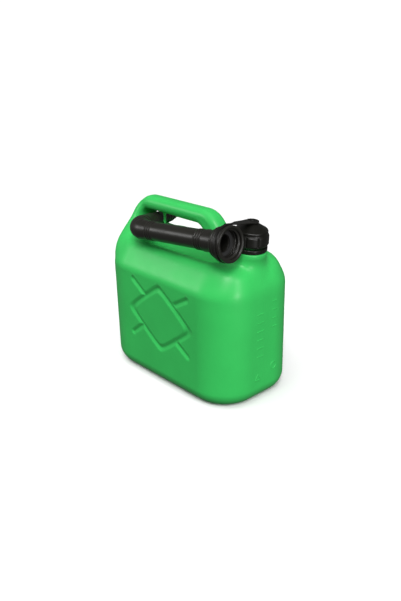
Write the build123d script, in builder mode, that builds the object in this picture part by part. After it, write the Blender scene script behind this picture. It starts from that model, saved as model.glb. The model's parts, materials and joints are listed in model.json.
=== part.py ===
"""Five-litre blow-moulded fuel can with a push-and-turn screw cap and a stowed pouring spout.

Units are millimetres. The origin is the centre of the base, +Z is up and +X points to the neck end.
"""

import os
from math import atan2, cos, degrees, hypot, radians, sin

from build123d import *

# Can body
CAN_LENGTH = 266.0
CAN_WIDTH = 145.0
WALL = 2.0
FRONT_CORNER_RADIUS = 52.0
REAR_CORNER_RADIUS = 60.0
BASE_EDGE_RADIUS = 19.0
SHOULDER_RADIUS = 36.0
ROOF_HEIGHT = 193.0
BASE_RECESS = 2.0
BASE_RECESS_MARGIN = 34.0
BASE_RECESS_CORNER = 12.0

# Rear leg of the handle, as level sections: height, rear x, front x, half width, corner radius
REAR_LEG_SECTIONS = (
    (158.0, -130.0, -50.0, 58.0, 38.0),
    (176.0, -129.0, -62.0, 53.0, 33.0),
    (190.0, -126.5, -78.0, 41.0, 22.0),
    (206.0, -120.5, -97.0, 23.0, 10.0),
    (222.0, -114.5, -98.0, 14.0, 7.0),
    (236.0, -109.0, -98.5, 9.0, 4.5),
)

# Carrying handle, seen from the side as (x, z)
HANDLE_WIDTH = 26.0
HANDLE_TOP = 246.5
HANDLE_UNDERSIDE = 224.0
HANDLE_EDGE_RADIUS = 9.0
HANDLE_OUTLINE = ((-126.0, 180.0), (-103.5, HANDLE_TOP), (44.0, HANDLE_TOP), (98.0, 180.0))
HANDLE_OUTLINE_RADII = (12.0, 30.0, 36.0, 12.0)
HANDLE_OPENING_RADII = (9.0, 9.0, 18.0, 9.0)
HANDLE_OPENING = ((-98.0, 197.0), (-98.0, HANDLE_UNDERSIDE), (23.0, HANDLE_UNDERSIDE), (45.0, 197.0))
WEB_X = -60.5
WEB_THICKNESS = 5.0
WEB_FLARE = 3.0
WEB_WIDTH = 7.0

# Neck, cap and tamper ring share one axis, which leans forward; heights run along it from the seat
NECK_LEAN = 6.6
NECK_SEAT = Vector(106.7, 0.0, 207.3)
NECK_AXIS = Vector(sin(radians(NECK_LEAN)), 0.0, cos(radians(NECK_LEAN)))
NECK_BORE_RADIUS = 14.6
NECK_CORE_RADIUS = 16.8
NECK_HEIGHT = 20.8
NECK_ROOT = -24.0
BOSS_TOP_RADIUS = 22.4
BOSS_BASE_RADIUS = 23.0
NECK_BEAD_HEIGHT = 6.2
NECK_BEAD_DEPTH = 1.1
THREAD_PITCH = 5.0
THREAD_DEPTH = 1.5
THREAD_START = 10.5
THREAD_ROOT_SINK = 0.2
MALE_THREAD_WIDTH = 2.4
FEMALE_THREAD_WIDTH = 2.0
NECK_THREAD_TURNS = 1.75
CAP_THREAD_TURNS = 1.25
COLLAR_THREAD_TURNS = 1.8
COLLAR_THREAD_START = 2.0
CAP_BORE_RADIUS = 18.7
COLLAR_BORE_RADIUS = 19.0
CAP_INNER_RADIUS = 19.9
SKIRT_RADIUS = 21.4
SKIRT_BOTTOM = 7.3
CAP_LUGS = 9
CAP_LUG_HEIGHT = 1.4
RATCHET_TEETH = 8
RATCHET_RADIUS = 15.0
RATCHET_ROOF = 26.7
BUTTON_RADIUS = 4.6

# Cap strap: a ring in the collar's groove, a tongue and an eye round the cap's button
STRAP_DISTANCE = 8.5
STRAP_RING_BORE = 22.0
STRAP_RING_HALF_WIDTH = 2.1
STRAP_THICKNESS = 1.4
STRAP_ROOT_LIFT = 0.5
STRAP_EYE_RADIUS = 8.2
STRAP_EYE_BASE = 35.8
STRAP_EYE_CLEARANCE = 0.8
STRAP_TONGUE = ((0.0, 8.0), (6.0, 7.0), (16.0, 5.8), (28.0, 5.2), (37.0, 1.9))

# Pouring spout: distances run back from the mouth, then along the leg from the elbow corner
SPOUT_MOUTH = Vector(123.0, -48.2, 226.9)
ELBOW_CORNER = Vector(-54.2, -57.8, 214.0)
STORAGE_HOLE = Vector(-76.0, 0.0, 211.5)
TUBE_AXIS = (SPOUT_MOUTH - ELBOW_CORNER).normalized()
LEG_AXIS = (STORAGE_HOLE - ELBOW_CORNER).normalized()
ELBOW_BEND_RADIUS = 30.0
TUBE_RADIUS = 12.6
TUBE_BORE_RADIUS = 10.8
SLEEVE_RADIUS = 14.1
SLEEVE_END = 42.0
TUBE_RINGS = ((44.0, 14.2), (48.0, 14.2), (52.0, 14.2), (136.0, 13.4), (140.0, 13.4), (144.0, 13.4))
LEG_LENGTH = 43.5
NOZZLE_START = 30.0
NOZZLE_END = 105.0
NOZZLE_BORE_RADIUS = 7.2
NOZZLE_RADIUS = 10.7
NOZZLE_NOTCH_RADIUS = 9.8
NOZZLE_STEPS = (76.0, 83.5, 91.0)

# Side panel relief, as (x, z)
GROOVE_WIDTH = 6.0
GROOVE_DEPTH = 2.0
DIAMOND_CENTRE = (8.0, 102.0)
DIAMOND_HALF_LENGTH = 65.0
DIAMOND_HALF_HEIGHT = 47.0
DIAMOND_CORNER_RADIUS = 7.0
GROOVE_ARMS = (
    ((-47.0, 146.0), (-22.0, 129.5)),
    ((64.5, 145.0), (40.5, 131.5)),
    ((-52.5, 63.5), (-32.5, 79.0)),
    ((64.5, 64.5), (39.5, 79.0)),
)

# Raised marks on the front face, as (y, z)
MARK_HEIGHT = 0.5
SCALE_BAR_SPACING = 12.0
SCALE_COLUMNS = ((-6.0, 67.0, 6, 13.0), (20.0, 103.0, 4, 9.0))
MARK_LINE_WIDTH = 1.4
MARK_SIZE = 6.0
MARK_RING_CENTRE = (20.0, 45.0)
MARK_TRIANGLE_CENTRE = (-10.0, 36.0)


def profile_plane(origin, direction):
    """Plane for a turned profile: local X is the radius, local Y runs along direction."""
    across = direction.cross(Vector(0, 1, 0)).normalized()
    return Plane(origin=origin, x_dir=across, z_dir=across.cross(direction))


def turned(origin, direction, outline):
    """Solid of revolution from an outline of (radius, distance) points."""
    with BuildPart() as piece:
        with BuildSketch(profile_plane(origin, direction)):
            with BuildLine():
                Polyline(*outline, close=True)
            make_face()
        revolve(axis=Axis(origin, direction))
    return piece.part


def thread_ridge(root_radius, crest_radius, base_width, turns, start_height, start_angle):
    """Helical ridge about +Z, rooted at root_radius and reaching crest_radius."""
    crest_width = base_width * 0.5
    with BuildPart() as ridge:
        with BuildLine() as coil:
            Helix(pitch=THREAD_PITCH, height=THREAD_PITCH * turns, radius=root_radius)
        with BuildSketch(Plane(origin=coil.line @ 0, x_dir=(1, 0, 0), z_dir=coil.line % 0)):
            with BuildLine():
                rise = crest_radius - root_radius
                Polyline(
                    (0, -base_width / 2),
                    (rise, -crest_width / 2),
                    (rise, crest_width / 2),
                    (0, base_width / 2),
                    close=True,
                )
            make_face()
        sweep(path=coil.line, is_frenet=True)
    return Pos(0, 0, start_height) * Rot(0, 0, start_angle) * ridge.part


def rounded_outline(points, radius):
    """Edges of a closed outline with rounded corners, in sketch coordinates."""
    with BuildLine() as outline:
        FilletPolyline(*points, radius=radius, close=True)
    return outline.edges()


def body_blank(inset, floor):
    """Box with rounded corners, base edge and shoulder, shrunk by inset on every side."""
    with BuildPart() as blank:
        with BuildSketch(Plane.XY.offset(floor)) as plan:
            Rectangle(CAN_LENGTH - 2 * inset, CAN_WIDTH - 2 * inset)
            fillet(plan.vertices().group_by(Axis.X)[-1], FRONT_CORNER_RADIUS - inset)
            fillet(plan.vertices().sort_by(Axis.X)[:2], REAR_CORNER_RADIUS - inset)
        extrude(amount=ROOF_HEIGHT - inset - floor)
        fillet(blank.edges().group_by(Axis.Z)[0], BASE_EDGE_RADIUS - inset)
        fillet(blank.edges().group_by(Axis.Z)[-1], SHOULDER_RADIUS - inset)
    return blank.part


def rear_leg_blank(inset):
    """Flared rear leg of the handle, lofted through its level sections."""
    with BuildPart() as leg:
        for height, rear, front, half_width, corner in REAR_LEG_SECTIONS:
            with BuildSketch(Plane(origin=((rear + front) / 2, 0, height))):
                length = front - rear - 2 * inset
                RectangleRounded(length, 2 * (half_width - inset), corner - inset)
        loft()
    return leg.part


def handle_blank(inset):
    """Handle bar with both legs as one profile, with the hand opening cut through."""
    with BuildPart() as bar:
        with BuildSketch(Plane.XZ):
            make_face(rounded_outline(HANDLE_OUTLINE, HANDLE_OUTLINE_RADII))
            if inset:
                offset(amount=-inset, mode=Mode.REPLACE)
        extrude(amount=HANDLE_WIDTH / 2 - inset, both=True)
        if not inset:
            fillet(bar.faces().filter_by(Axis.Y).edges(), HANDLE_EDGE_RADIUS)
    return bar.part


def hand_opening(grow):
    """Opening between the legs, through the handle and the rear leg."""
    with BuildPart() as opening:
        with BuildSketch(Plane.XZ):
            make_face(rounded_outline(HANDLE_OPENING, HANDLE_OPENING_RADII))
            if grow:
                offset(amount=grow, mode=Mode.REPLACE)
        extrude(amount=CAN_WIDTH / 3, both=True)
    return opening.part


def direction_angle(vector):
    """Angle of a vector in its sketch, in degrees from local X."""
    return degrees(atan2(vector.Y, vector.X))


def diamond_outline(grow):
    """Diamond with its four sides moved outwards by grow and its corners rounded."""
    centre_x, centre_z = DIAMOND_CENTRE
    edge = hypot(DIAMOND_HALF_LENGTH, DIAMOND_HALF_HEIGHT)
    half_length = DIAMOND_HALF_LENGTH + grow * edge / DIAMOND_HALF_HEIGHT
    half_height = DIAMOND_HALF_HEIGHT + grow * edge / DIAMOND_HALF_LENGTH
    corners = (
        (centre_x - half_length, centre_z),
        (centre_x, centre_z + half_height),
        (centre_x + half_length, centre_z),
        (centre_x, centre_z - half_height),
    )
    return rounded_outline(corners, DIAMOND_CORNER_RADIUS)


def side_relief(side, grow, depth):
    """Diamond and four short arms, as a tool that cuts inwards from one side wall."""
    wall_plane = Plane(origin=(0, side * CAN_WIDTH / 2, 0), x_dir=(1, 0, 0), z_dir=(0, -1, 0))
    with BuildPart() as relief:
        with BuildSketch(wall_plane):
            make_face(diamond_outline(grow))
            make_face(diamond_outline(-GROOVE_WIDTH - grow), mode=Mode.SUBTRACT)
            for start, end in GROOVE_ARMS:
                arm = Vector(*end) - Vector(*start)
                with Locations((Vector(*start) + Vector(*end)) * 0.5):
                    SlotCenterToCenter(arm.length, GROOVE_WIDTH + 2 * grow, rotation=direction_angle(arm))
        extrude(amount=side * depth)
    return relief.part


def front_marks():
    """Plain scale bars, a ring and a triangle, raised on the front face."""
    with BuildPart() as marks:
        with BuildSketch(Plane(origin=(CAN_LENGTH / 2 - WALL, 0, 0), x_dir=(0, 1, 0), z_dir=(1, 0, 0))):
            for column_y, lowest_z, count, bar_length in SCALE_COLUMNS:
                heights = [lowest_z + SCALE_BAR_SPACING * step for step in range(count)]
                with Locations(*[(column_y, height) for height in heights]):
                    Rectangle(bar_length, MARK_LINE_WIDTH)
            with Locations(MARK_RING_CENTRE):
                Circle(MARK_SIZE)
                Circle(MARK_SIZE - MARK_LINE_WIDTH, mode=Mode.SUBTRACT)
            with Locations(MARK_TRIANGLE_CENTRE):
                RegularPolygon(MARK_SIZE, 3, rotation=90)
                RegularPolygon(MARK_SIZE - 2 * MARK_LINE_WIDTH, 3, rotation=90, mode=Mode.SUBTRACT)
        extrude(amount=WALL + MARK_HEIGHT)
    return marks.part


def swept_tube(radius, start, end):
    """Round bar along the spout's path: straight, elbow, leg."""
    with BuildPart() as tube:
        with BuildLine() as path:
            FilletPolyline(start, ELBOW_CORNER, end, radius=ELBOW_BEND_RADIUS)
        with BuildSketch(Plane(origin=start, z_dir=-TUBE_AXIS)):
            Circle(radius)
        sweep(path=path.line)
    return tube.part


def on_neck(height):
    """Plane square to the neck axis at a height above the seat, with local X towards the front."""
    return Plane(
        origin=NECK_SEAT + NECK_AXIS * height, x_dir=(NECK_AXIS.Z, 0, -NECK_AXIS.X), z_dir=NECK_AXIS
    )


def mouth_distance(distance):
    """Point on the tube axis at a distance back from the mouth."""
    return SPOUT_MOUTH - TUBE_AXIS * distance


# ---------------------------------------------------------------- can body
neck_outside = turned(
    NECK_SEAT,
    NECK_AXIS,
    (
        (0, NECK_ROOT),
        (BOSS_BASE_RADIUS, NECK_ROOT),
        (BOSS_TOP_RADIUS, -6),
        (BOSS_TOP_RADIUS, -1),
        (BOSS_TOP_RADIUS - 1, 0),
        (NECK_CORE_RADIUS, 0),
        (NECK_CORE_RADIUS, NECK_BEAD_HEIGHT),
        (NECK_CORE_RADIUS + NECK_BEAD_DEPTH, NECK_BEAD_HEIGHT + 0.3),
        (NECK_CORE_RADIUS + NECK_BEAD_DEPTH, NECK_BEAD_HEIGHT + 0.8),
        (NECK_CORE_RADIUS, NECK_BEAD_HEIGHT + 1.2),
        (NECK_CORE_RADIUS, NECK_HEIGHT - 0.8),
        (NECK_CORE_RADIUS - 0.8, NECK_HEIGHT),
        (0, NECK_HEIGHT),
    ),
)
neck_inside = turned(
    NECK_SEAT,
    NECK_AXIS,
    (
        (0, NECK_ROOT),
        (BOSS_BASE_RADIUS - WALL, NECK_ROOT),
        (BOSS_TOP_RADIUS - WALL, -7),
        (BOSS_TOP_RADIUS - WALL, -WALL),
        (NECK_BORE_RADIUS, -WALL),
        (NECK_BORE_RADIUS, NECK_HEIGHT + 1),
        (0, NECK_HEIGHT + 1),
    ),
)
neck_thread = on_neck(0).location * thread_ridge(
    NECK_CORE_RADIUS - THREAD_ROOT_SINK,
    NECK_CORE_RADIUS + THREAD_DEPTH,
    MALE_THREAD_WIDTH,
    NECK_THREAD_TURNS,
    THREAD_START,
    0,
)

outside_blank = body_blank(0, 0)
inside_blank = body_blank(WALL, WALL + BASE_RECESS)
leg_outside = rear_leg_blank(0)
leg_inside = rear_leg_blank(WALL)
handle_outside = handle_blank(0)
handle_inside = handle_blank(WALL)
opening_outside = hand_opening(0)
opening_inside = hand_opening(WALL)
marks = front_marks()

with BuildPart() as can_cavity:
    add(inside_blank)
    for relief_side in (-1, 1):
        add(side_relief(relief_side, WALL, GROOVE_DEPTH + WALL), mode=Mode.SUBTRACT)
    add(leg_inside)
    add(handle_inside)
    add(opening_inside, mode=Mode.SUBTRACT)
    add(neck_inside)

with BuildPart() as can_body:
    add(outside_blank)
    for relief_side in (-1, 1):
        add(side_relief(relief_side, 0, GROOVE_DEPTH), mode=Mode.SUBTRACT)
    add(leg_outside)
    add(handle_outside)
    add(opening_outside, mode=Mode.SUBTRACT)
    with BuildSketch(Plane.XZ):
        with BuildLine():
            Polyline(
                (WEB_X - WEB_THICKNESS / 2 - WEB_FLARE, HANDLE_UNDERSIDE + 1),
                (WEB_X - WEB_THICKNESS / 2, HANDLE_UNDERSIDE - 5),
                (WEB_X - WEB_THICKNESS / 2, ROOF_HEIGHT - 1),
                (WEB_X + WEB_THICKNESS / 2, ROOF_HEIGHT - 1),
                (WEB_X + WEB_THICKNESS / 2, HANDLE_UNDERSIDE - 5),
                (WEB_X + WEB_THICKNESS / 2 + 2 * WEB_FLARE, HANDLE_UNDERSIDE + 1),
                close=True,
            )
        make_face()
    extrude(amount=WEB_WIDTH / 2, both=True)
    add(neck_outside)
    add(neck_thread)
    add(marks)
    with BuildSketch(Plane.XY):
        RectangleRounded(
            CAN_LENGTH - 2 * BASE_RECESS_MARGIN,
            CAN_WIDTH - 2 * BASE_RECESS_MARGIN,
            BASE_RECESS_CORNER,
        )
    extrude(amount=BASE_RECESS, mode=Mode.SUBTRACT)
    add(can_cavity.part, mode=Mode.SUBTRACT)

# ---------------------------------------------------------------- tamper ring
tamper_ring_body = turned(
    NECK_SEAT,
    NECK_AXIS,
    (
        (NECK_CORE_RADIUS + 0.5, 0.3),
        (SKIRT_RADIUS + 0.2, 0.3),
        (SKIRT_RADIUS + 0.6, 0.8),
        (SKIRT_RADIUS + 0.6, 4.9),
        (SKIRT_RADIUS, 5.5),
        (NECK_CORE_RADIUS + 0.5, 5.5),
    ),
)
with BuildPart() as tamper_ring:
    add(tamper_ring_body)

# ---------------------------------------------------------------- screw cap
cap_thread = on_neck(0).location * thread_ridge(
    CAP_BORE_RADIUS + THREAD_ROOT_SINK,
    CAP_BORE_RADIUS - THREAD_DEPTH,
    FEMALE_THREAD_WIDTH,
    CAP_THREAD_TURNS,
    THREAD_START,
    180,
)
inner_cup = turned(
    NECK_SEAT,
    NECK_AXIS,
    (
        (0, 22.5),
        (CAP_BORE_RADIUS, 22.5),
        (CAP_BORE_RADIUS, 8.9),
        (CAP_INNER_RADIUS, 8.9),
        (CAP_INNER_RADIUS, 22.8),
        (CAP_INNER_RADIUS - 1.6, 24.0),
        (0, 24.0),
    ),
)
with BuildPart() as cap_inner:
    add(inner_cup)
    add(cap_thread)
    with BuildSketch(on_neck(24.0)):
        with PolarLocations(RATCHET_RADIUS, RATCHET_TEETH):
            Rectangle(4.0, 3.0)
    extrude(amount=1.0)

with BuildPart() as cap_seal:
    with BuildSketch(on_neck(21.0)):
        Circle(CAP_BORE_RADIUS - 0.4)
    extrude(amount=1.5)

shell_body = turned(
    NECK_SEAT,
    NECK_AXIS,
    (
        (0, 33.4),
        (3.6, 33.4),
        (RATCHET_RADIUS - 2.6, 28.6),
        (RATCHET_RADIUS - 2.6, RATCHET_ROOF),
        (CAP_INNER_RADIUS - 1.4, RATCHET_ROOF),
        (CAP_INNER_RADIUS + 0.3, 25.0),
        (CAP_INNER_RADIUS + 0.3, 8.7),
        (CAP_INNER_RADIUS - 0.5, 8.2),
        (CAP_INNER_RADIUS - 0.5, SKIRT_BOTTOM),
        (SKIRT_RADIUS, SKIRT_BOTTOM),
        (SKIRT_RADIUS, 24.6),
        (20.6, 27.0),
        (19.8, 27.5),
        (BUTTON_RADIUS + 0.6, 35.7),
        (BUTTON_RADIUS, 36.9),
        (BUTTON_RADIUS - 0.6, 37.2),
        (0, 37.2),
    ),
)
with BuildPart() as cap_shell:
    add(shell_body)
    with BuildSketch(on_neck(SKIRT_BOTTOM + 0.8)):
        with PolarLocations(SKIRT_RADIUS - 0.5 + CAP_LUG_HEIGHT / 2, CAP_LUGS):
            RectangleRounded(CAP_LUG_HEIGHT + 1.0, 8.0, 0.9)
    extrude(amount=16.0)
    with BuildSketch(on_neck(RATCHET_ROOF)):
        with PolarLocations(RATCHET_RADIUS, RATCHET_TEETH, start_angle=180 / RATCHET_TEETH):
            Rectangle(4.0, 3.0)
    extrude(amount=-1.0)

# ---------------------------------------------------------------- spout collar and gasket
collar_body = turned(
    SPOUT_MOUTH,
    TUBE_AXIS,
    (
        (20.4, 0),
        (22.8, 0),
        (22.8, -5.0),
        (21.8, -6.0),
        (21.8, -11.0),
        (20.4, -12.0),
        (20.4, -17.0),
        (18.4, -18.0),
        (18.4, -22.5),
        (16.4, -24.0),
        (SLEEVE_RADIUS + 0.3, -24.0),
        (SLEEVE_RADIUS + 0.3, -18.2),
        (16.6, -18.2),
        (16.6, -12.6),
        (COLLAR_BORE_RADIUS, -12.2),
        (COLLAR_BORE_RADIUS, -1.4),
    ),
)
collar_ridge = Plane(origin=SPOUT_MOUTH, z_dir=-TUBE_AXIS).location * thread_ridge(
    COLLAR_BORE_RADIUS + THREAD_ROOT_SINK,
    COLLAR_BORE_RADIUS - THREAD_DEPTH - 0.1,
    FEMALE_THREAD_WIDTH,
    COLLAR_THREAD_TURNS,
    COLLAR_THREAD_START,
    0,
)
with BuildPart() as spout_collar:
    add(collar_body)
    add(collar_ridge)

collar_gasket_body = turned(
    SPOUT_MOUTH,
    TUBE_AXIS,
    ((16.2, -13.2), (16.2, -14.9), (TUBE_BORE_RADIUS + 0.6, -14.9), (TUBE_BORE_RADIUS + 0.6, -13.2)),
)
with BuildPart() as collar_gasket:
    add(collar_gasket_body)

# ---------------------------------------------------------------- cap strap
strap_upward = TUBE_AXIS.cross(Vector(0, 1, 0)).normalized()
if strap_upward.Z < 0:
    strap_upward = -strap_upward
strap_radius = STRAP_RING_BORE + STRAP_THICKNESS / 2 + STRAP_ROOT_LIFT
strap_root = mouth_distance(STRAP_DISTANCE) + strap_upward * strap_radius
strap_eye = NECK_SEAT + NECK_AXIS * (STRAP_EYE_BASE + STRAP_THICKNESS / 2)
strap_run = strap_root - strap_eye
strap_plane = Plane(origin=strap_eye, x_dir=strap_run, z_dir=strap_run.cross(NECK_AXIS).cross(strap_run))
strap_ring = turned(
    SPOUT_MOUTH,
    TUBE_AXIS,
    (
        (STRAP_RING_BORE, STRAP_RING_HALF_WIDTH - STRAP_DISTANCE),
        (STRAP_RING_BORE + STRAP_THICKNESS, STRAP_RING_HALF_WIDTH - STRAP_DISTANCE - 0.3),
        (STRAP_RING_BORE + STRAP_THICKNESS, 0.3 - STRAP_RING_HALF_WIDTH - STRAP_DISTANCE),
        (STRAP_RING_BORE, -STRAP_RING_HALF_WIDTH - STRAP_DISTANCE),
    ),
)
near_edge = [*STRAP_TONGUE, (strap_run.length + 1.0, STRAP_TONGUE[-1][1])]
far_edge = [(along, -half_width) for along, half_width in reversed(near_edge)]
with BuildPart() as cap_strap:
    with BuildSketch(strap_plane):
        with BuildLine():
            Polyline(*near_edge, *far_edge, close=True)
        make_face()
    extrude(amount=STRAP_THICKNESS / 2, both=True)
    with BuildSketch(on_neck(STRAP_EYE_BASE)):
        Circle(STRAP_EYE_RADIUS)
    extrude(amount=STRAP_THICKNESS)
    with BuildSketch(on_neck(STRAP_EYE_BASE + STRAP_THICKNESS / 2)):
        Circle(BUTTON_RADIUS + STRAP_EYE_CLEARANCE)
    extrude(amount=STRAP_THICKNESS, both=True, mode=Mode.SUBTRACT)
    add(strap_ring)

# ---------------------------------------------------------------- spout tube and nozzle
leg_end = ELBOW_CORNER + LEG_AXIS * LEG_LENGTH
tube_outside = swept_tube(TUBE_RADIUS, mouth_distance(SLEEVE_END - 2), leg_end)
tube_bore = swept_tube(TUBE_BORE_RADIUS, mouth_distance(14.0), leg_end + LEG_AXIS)
tube_sleeve = turned(
    SPOUT_MOUTH,
    TUBE_AXIS,
    (
        (0, -14.9),
        (16.2, -14.9),
        (16.2, -17.7),
        (SLEEVE_RADIUS, -17.9),
        (SLEEVE_RADIUS, -SLEEVE_END),
        (TUBE_RADIUS, -SLEEVE_END - 1.0),
        (0, -SLEEVE_END - 1.0),
    ),
)
with BuildPart() as spout_tube:
    add(tube_outside)
    add(tube_sleeve)
    for ring_distance, ring_radius in TUBE_RINGS:
        with BuildSketch(Plane(origin=mouth_distance(ring_distance), z_dir=-TUBE_AXIS)):
            Circle(ring_radius)
        extrude(amount=1.6)
    add(tube_bore, mode=Mode.SUBTRACT)

spigot_radius = TUBE_BORE_RADIUS - 0.3
nozzle_outline = [(NOZZLE_BORE_RADIUS, NOZZLE_START), (spigot_radius, NOZZLE_START)]
nozzle_outline += [(spigot_radius, LEG_LENGTH + 0.3), (NOZZLE_RADIUS, LEG_LENGTH + 0.3)]
nozzle_outline += [(NOZZLE_RADIUS, 62.0), (NOZZLE_NOTCH_RADIUS, 63.0)]
for step_start in NOZZLE_STEPS:
    nozzle_outline += [(NOZZLE_NOTCH_RADIUS, step_start), (NOZZLE_RADIUS, step_start + 0.5)]
    nozzle_outline += [(NOZZLE_RADIUS, step_start + 3.0), (NOZZLE_NOTCH_RADIUS, step_start + 3.5)]
nozzle_outline += [(NOZZLE_NOTCH_RADIUS, NOZZLE_END - 7.0), (9.0, NOZZLE_END)]
nozzle_outline += [(NOZZLE_BORE_RADIUS, NOZZLE_END)]
nozzle_body = turned(ELBOW_CORNER, LEG_AXIS, nozzle_outline)
with BuildPart() as spout_nozzle:
    add(nozzle_body)

PIECES = {
    "can_body": can_body,
    "tamper_ring": tamper_ring,
    "cap_inner": cap_inner,
    "cap_seal": cap_seal,
    "cap_shell": cap_shell,
    "cap_strap": cap_strap,
    "spout_collar": spout_collar,
    "collar_gasket": collar_gasket,
    "spout_tube": spout_tube,
    "spout_nozzle": spout_nozzle,
}
os.makedirs("parts", exist_ok=True)
for name, piece in PIECES.items():
    piece.part.label = name
    export_step(piece.part, f"parts/{name}.step")
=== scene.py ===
"""Looks for a green blow-moulded fuel can with a black screw cap and a stowed black spout."""
import json
import math

import bmesh
import bpy
import numpy as np
from mathutils import Matrix, Vector


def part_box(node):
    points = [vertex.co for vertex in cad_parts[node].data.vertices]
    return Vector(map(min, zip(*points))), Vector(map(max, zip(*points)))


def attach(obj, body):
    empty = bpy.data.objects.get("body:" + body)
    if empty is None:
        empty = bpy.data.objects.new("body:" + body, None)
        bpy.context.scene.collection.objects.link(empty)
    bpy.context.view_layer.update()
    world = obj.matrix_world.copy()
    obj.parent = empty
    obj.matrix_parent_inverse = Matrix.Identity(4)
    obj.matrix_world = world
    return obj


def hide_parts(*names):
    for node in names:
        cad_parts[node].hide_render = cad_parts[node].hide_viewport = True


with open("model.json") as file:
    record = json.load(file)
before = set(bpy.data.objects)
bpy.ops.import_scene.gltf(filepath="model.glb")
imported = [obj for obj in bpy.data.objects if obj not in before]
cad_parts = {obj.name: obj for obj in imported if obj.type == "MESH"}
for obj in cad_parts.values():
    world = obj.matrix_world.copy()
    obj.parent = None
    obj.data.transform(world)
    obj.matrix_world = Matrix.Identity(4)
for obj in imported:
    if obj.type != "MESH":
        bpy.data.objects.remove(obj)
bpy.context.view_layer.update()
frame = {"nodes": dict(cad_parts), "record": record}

MM = 0.001
joints = {joint["name"]: joint for joint in frame["record"]["behaviour"]["joints"]}


def millimetres(values):
    return np.array(values, float) / MM


# ---------------------------------------------------------------- places taken from the frame (mm)
CAN_LOW, CAN_HIGH = (millimetres(corner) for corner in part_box("can_body"))
SEAT = millimetres(joints["ring_spin"]["pos_m"])
NECK_AXIS = np.array(joints["ring_spin"]["axis"], float)
MOUTH = millimetres(joints["collar_spin"]["pos_m"])
TUBE_AXIS = np.array(joints["collar_spin"]["axis"], float)
LEG_AXIS = -np.array(joints["spout_swing"]["axis"], float)

# ---------------------------------------------------------------- can body sizes (mm)
HALF_LENGTH = 133.0
HALF_WIDTH = 72.5
FRONT_RADIUS = 52.0
REAR_RADIUS = 65.0
BASE_RADIUS = 22.0
SHOULDER_RADIUS = 36.0
ROOF = 193.0
SHOULDER_CREASE = 160.0
SIDE_SLOPE = math.radians(34.0)
END_SLOPE = math.radians(17.0)
CREASE_SOFTNESS = 4.0
RECESS_INSET = 34.0
RECESS_RADIUS = 12.0
RECESS_DEPTH = 2.0
RECESS_EDGE = 1.5

# Shallow trough along each side of the handle: it fades in and out between these values of x.
TROUGH_Y = 25.0
TROUGH_WIDTH = 14.0
TROUGH_DEPTH = 9.0
TROUGH_FADE_IN = (-82, -48)
TROUGH_FADE_OUT = (62, 92)

# Handle seen from the side: each sloping face is (x at the top, x and z of its normal).
HANDLE_TOP = CAN_HIGH[2] - 1.2
HANDLE_UNDERSIDE = 224.0
HANDLE_HALF_WIDTH = 13.0
HANDLE_EDGE = 10.5
HANDLE_REAR = (-103.5, -0.947, 0.3205)
HANDLE_REAR_RADIUS = 30.0
HANDLE_FRONT = (44.0, 0.776, 0.630)
HANDLE_FRONT_RADIUS = 36.0
HANDLE_FOOT = 165.0
HANDLE_FADE = (164.0, 182.0)
HANDLE_FADE_DEPTH = 8.0

OPENING_REAR = -98.0
OPENING_REAR_RADIUS = 10.0
OPENING_FRONT = 23.0
OPENING_FRONT_RADIUS = 18.0
OPENING_FLOOR = 195.0
OPENING_FLOOR_RADIUS = 8.0
TUNNEL_FRONT = -30.0
TUNNEL_HALF_WIDTH = 46.0
TUNNEL_EDGE = 5.0

# Thin web of plastic that crosses the hand opening.
WEB_X = -60.5
WEB_HALF_LENGTH = 1.2
WEB_HALF_WIDTH = 2.2
WEB_FOOT = 185.0
WEB_TOP = 230.0

# Rear leg of the handle: its rear face, front face and half width at a few heights.
LEG_HEIGHTS = (150.0, 176.0, 190.0, 206.0, 222.0, 240.0)
LEG_REAR = (-122.0, -127.5, -126.0, -121.0, -114.5, -107.0)
LEG_FRONT = (-60.0, -70.0, -84.0, -97.0, -98.0, -98.5)
LEG_HALF_WIDTH = (59.0, 53.0, 41.0, 25.0, 15.0, 10.5)
LEG_ROUNDNESS = 0.92
LEG_TOP = 232.0
LEG_TOP_RADIUS = 12.0
LEG_FADE = (149.0, 168.0)
LEG_FADE_DEPTH = 9.0

# Boss under the neck, the bore through it and the room inside that the bore opens into.
BOSS_RADIUS = 22.2
BOSS_EDGE = 2.2
BOSS_TAPER = 0.25
BOSS_TAPER_START = -6.0
BOSS_FOOT = -45.0
BORE_RADIUS = 15.6
BORE_FOOT = -70.0
POCKET_X = 90.0
POCKET_Z = 146.0
POCKET_RADIUS = 34.0

# Width of the soft fillet where each of these joins the body.
LEG_BLEND = 10.0
HANDLE_BLEND = 11.0
WEB_BLEND = 7.0
BOSS_BLEND = 14.0

# Relief on both long sides: a diamond (centre x, centre z, half length, half height) and four arms (x, z).
GROOVE_DEPTH = 2.2
GROOVE_HALF_WIDTH = 5.8
GROOVE_BAND = (60, 68)
DIAMOND = (8.0, 102.0, 62.0, 44.5)
DIAMOND_SOFTNESS = 5.0
DIAMOND_SHIFT = 1.5
ARMS = (
    ((-47.0, 146.0), (-22.0, 129.5)),
    ((64.5, 145.0), (40.5, 131.5)),
    ((-52.5, 63.5), (-32.5, 79.0)),
    ((64.5, 64.5), (39.5, 79.0)),
)

GRID_STEP = 1.9
THREAD_PITCH = 5.0


# ---------------------------------------------------------------- distance field of the can
def round_max(a, b, radius):
    """Intersection of two fields with the corner rounded by radius."""
    u = np.maximum(a + radius, 0)
    v = np.maximum(b + radius, 0)
    return np.minimum(np.maximum(a, b), -radius) + np.hypot(u, v)


def fillet_max(a, b, radius, cosine):
    """Intersection of two planes rounded by radius; cosine is of the angle between their normals."""
    u, v = a + radius, b + radius
    corner = (u > cosine * v) & (v > cosine * u)
    length = np.sqrt(np.maximum(u * u + v * v - 2 * cosine * u * v, 0) / (1 - cosine**2))
    return np.where(corner, length - radius, np.maximum(a, b))


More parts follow.
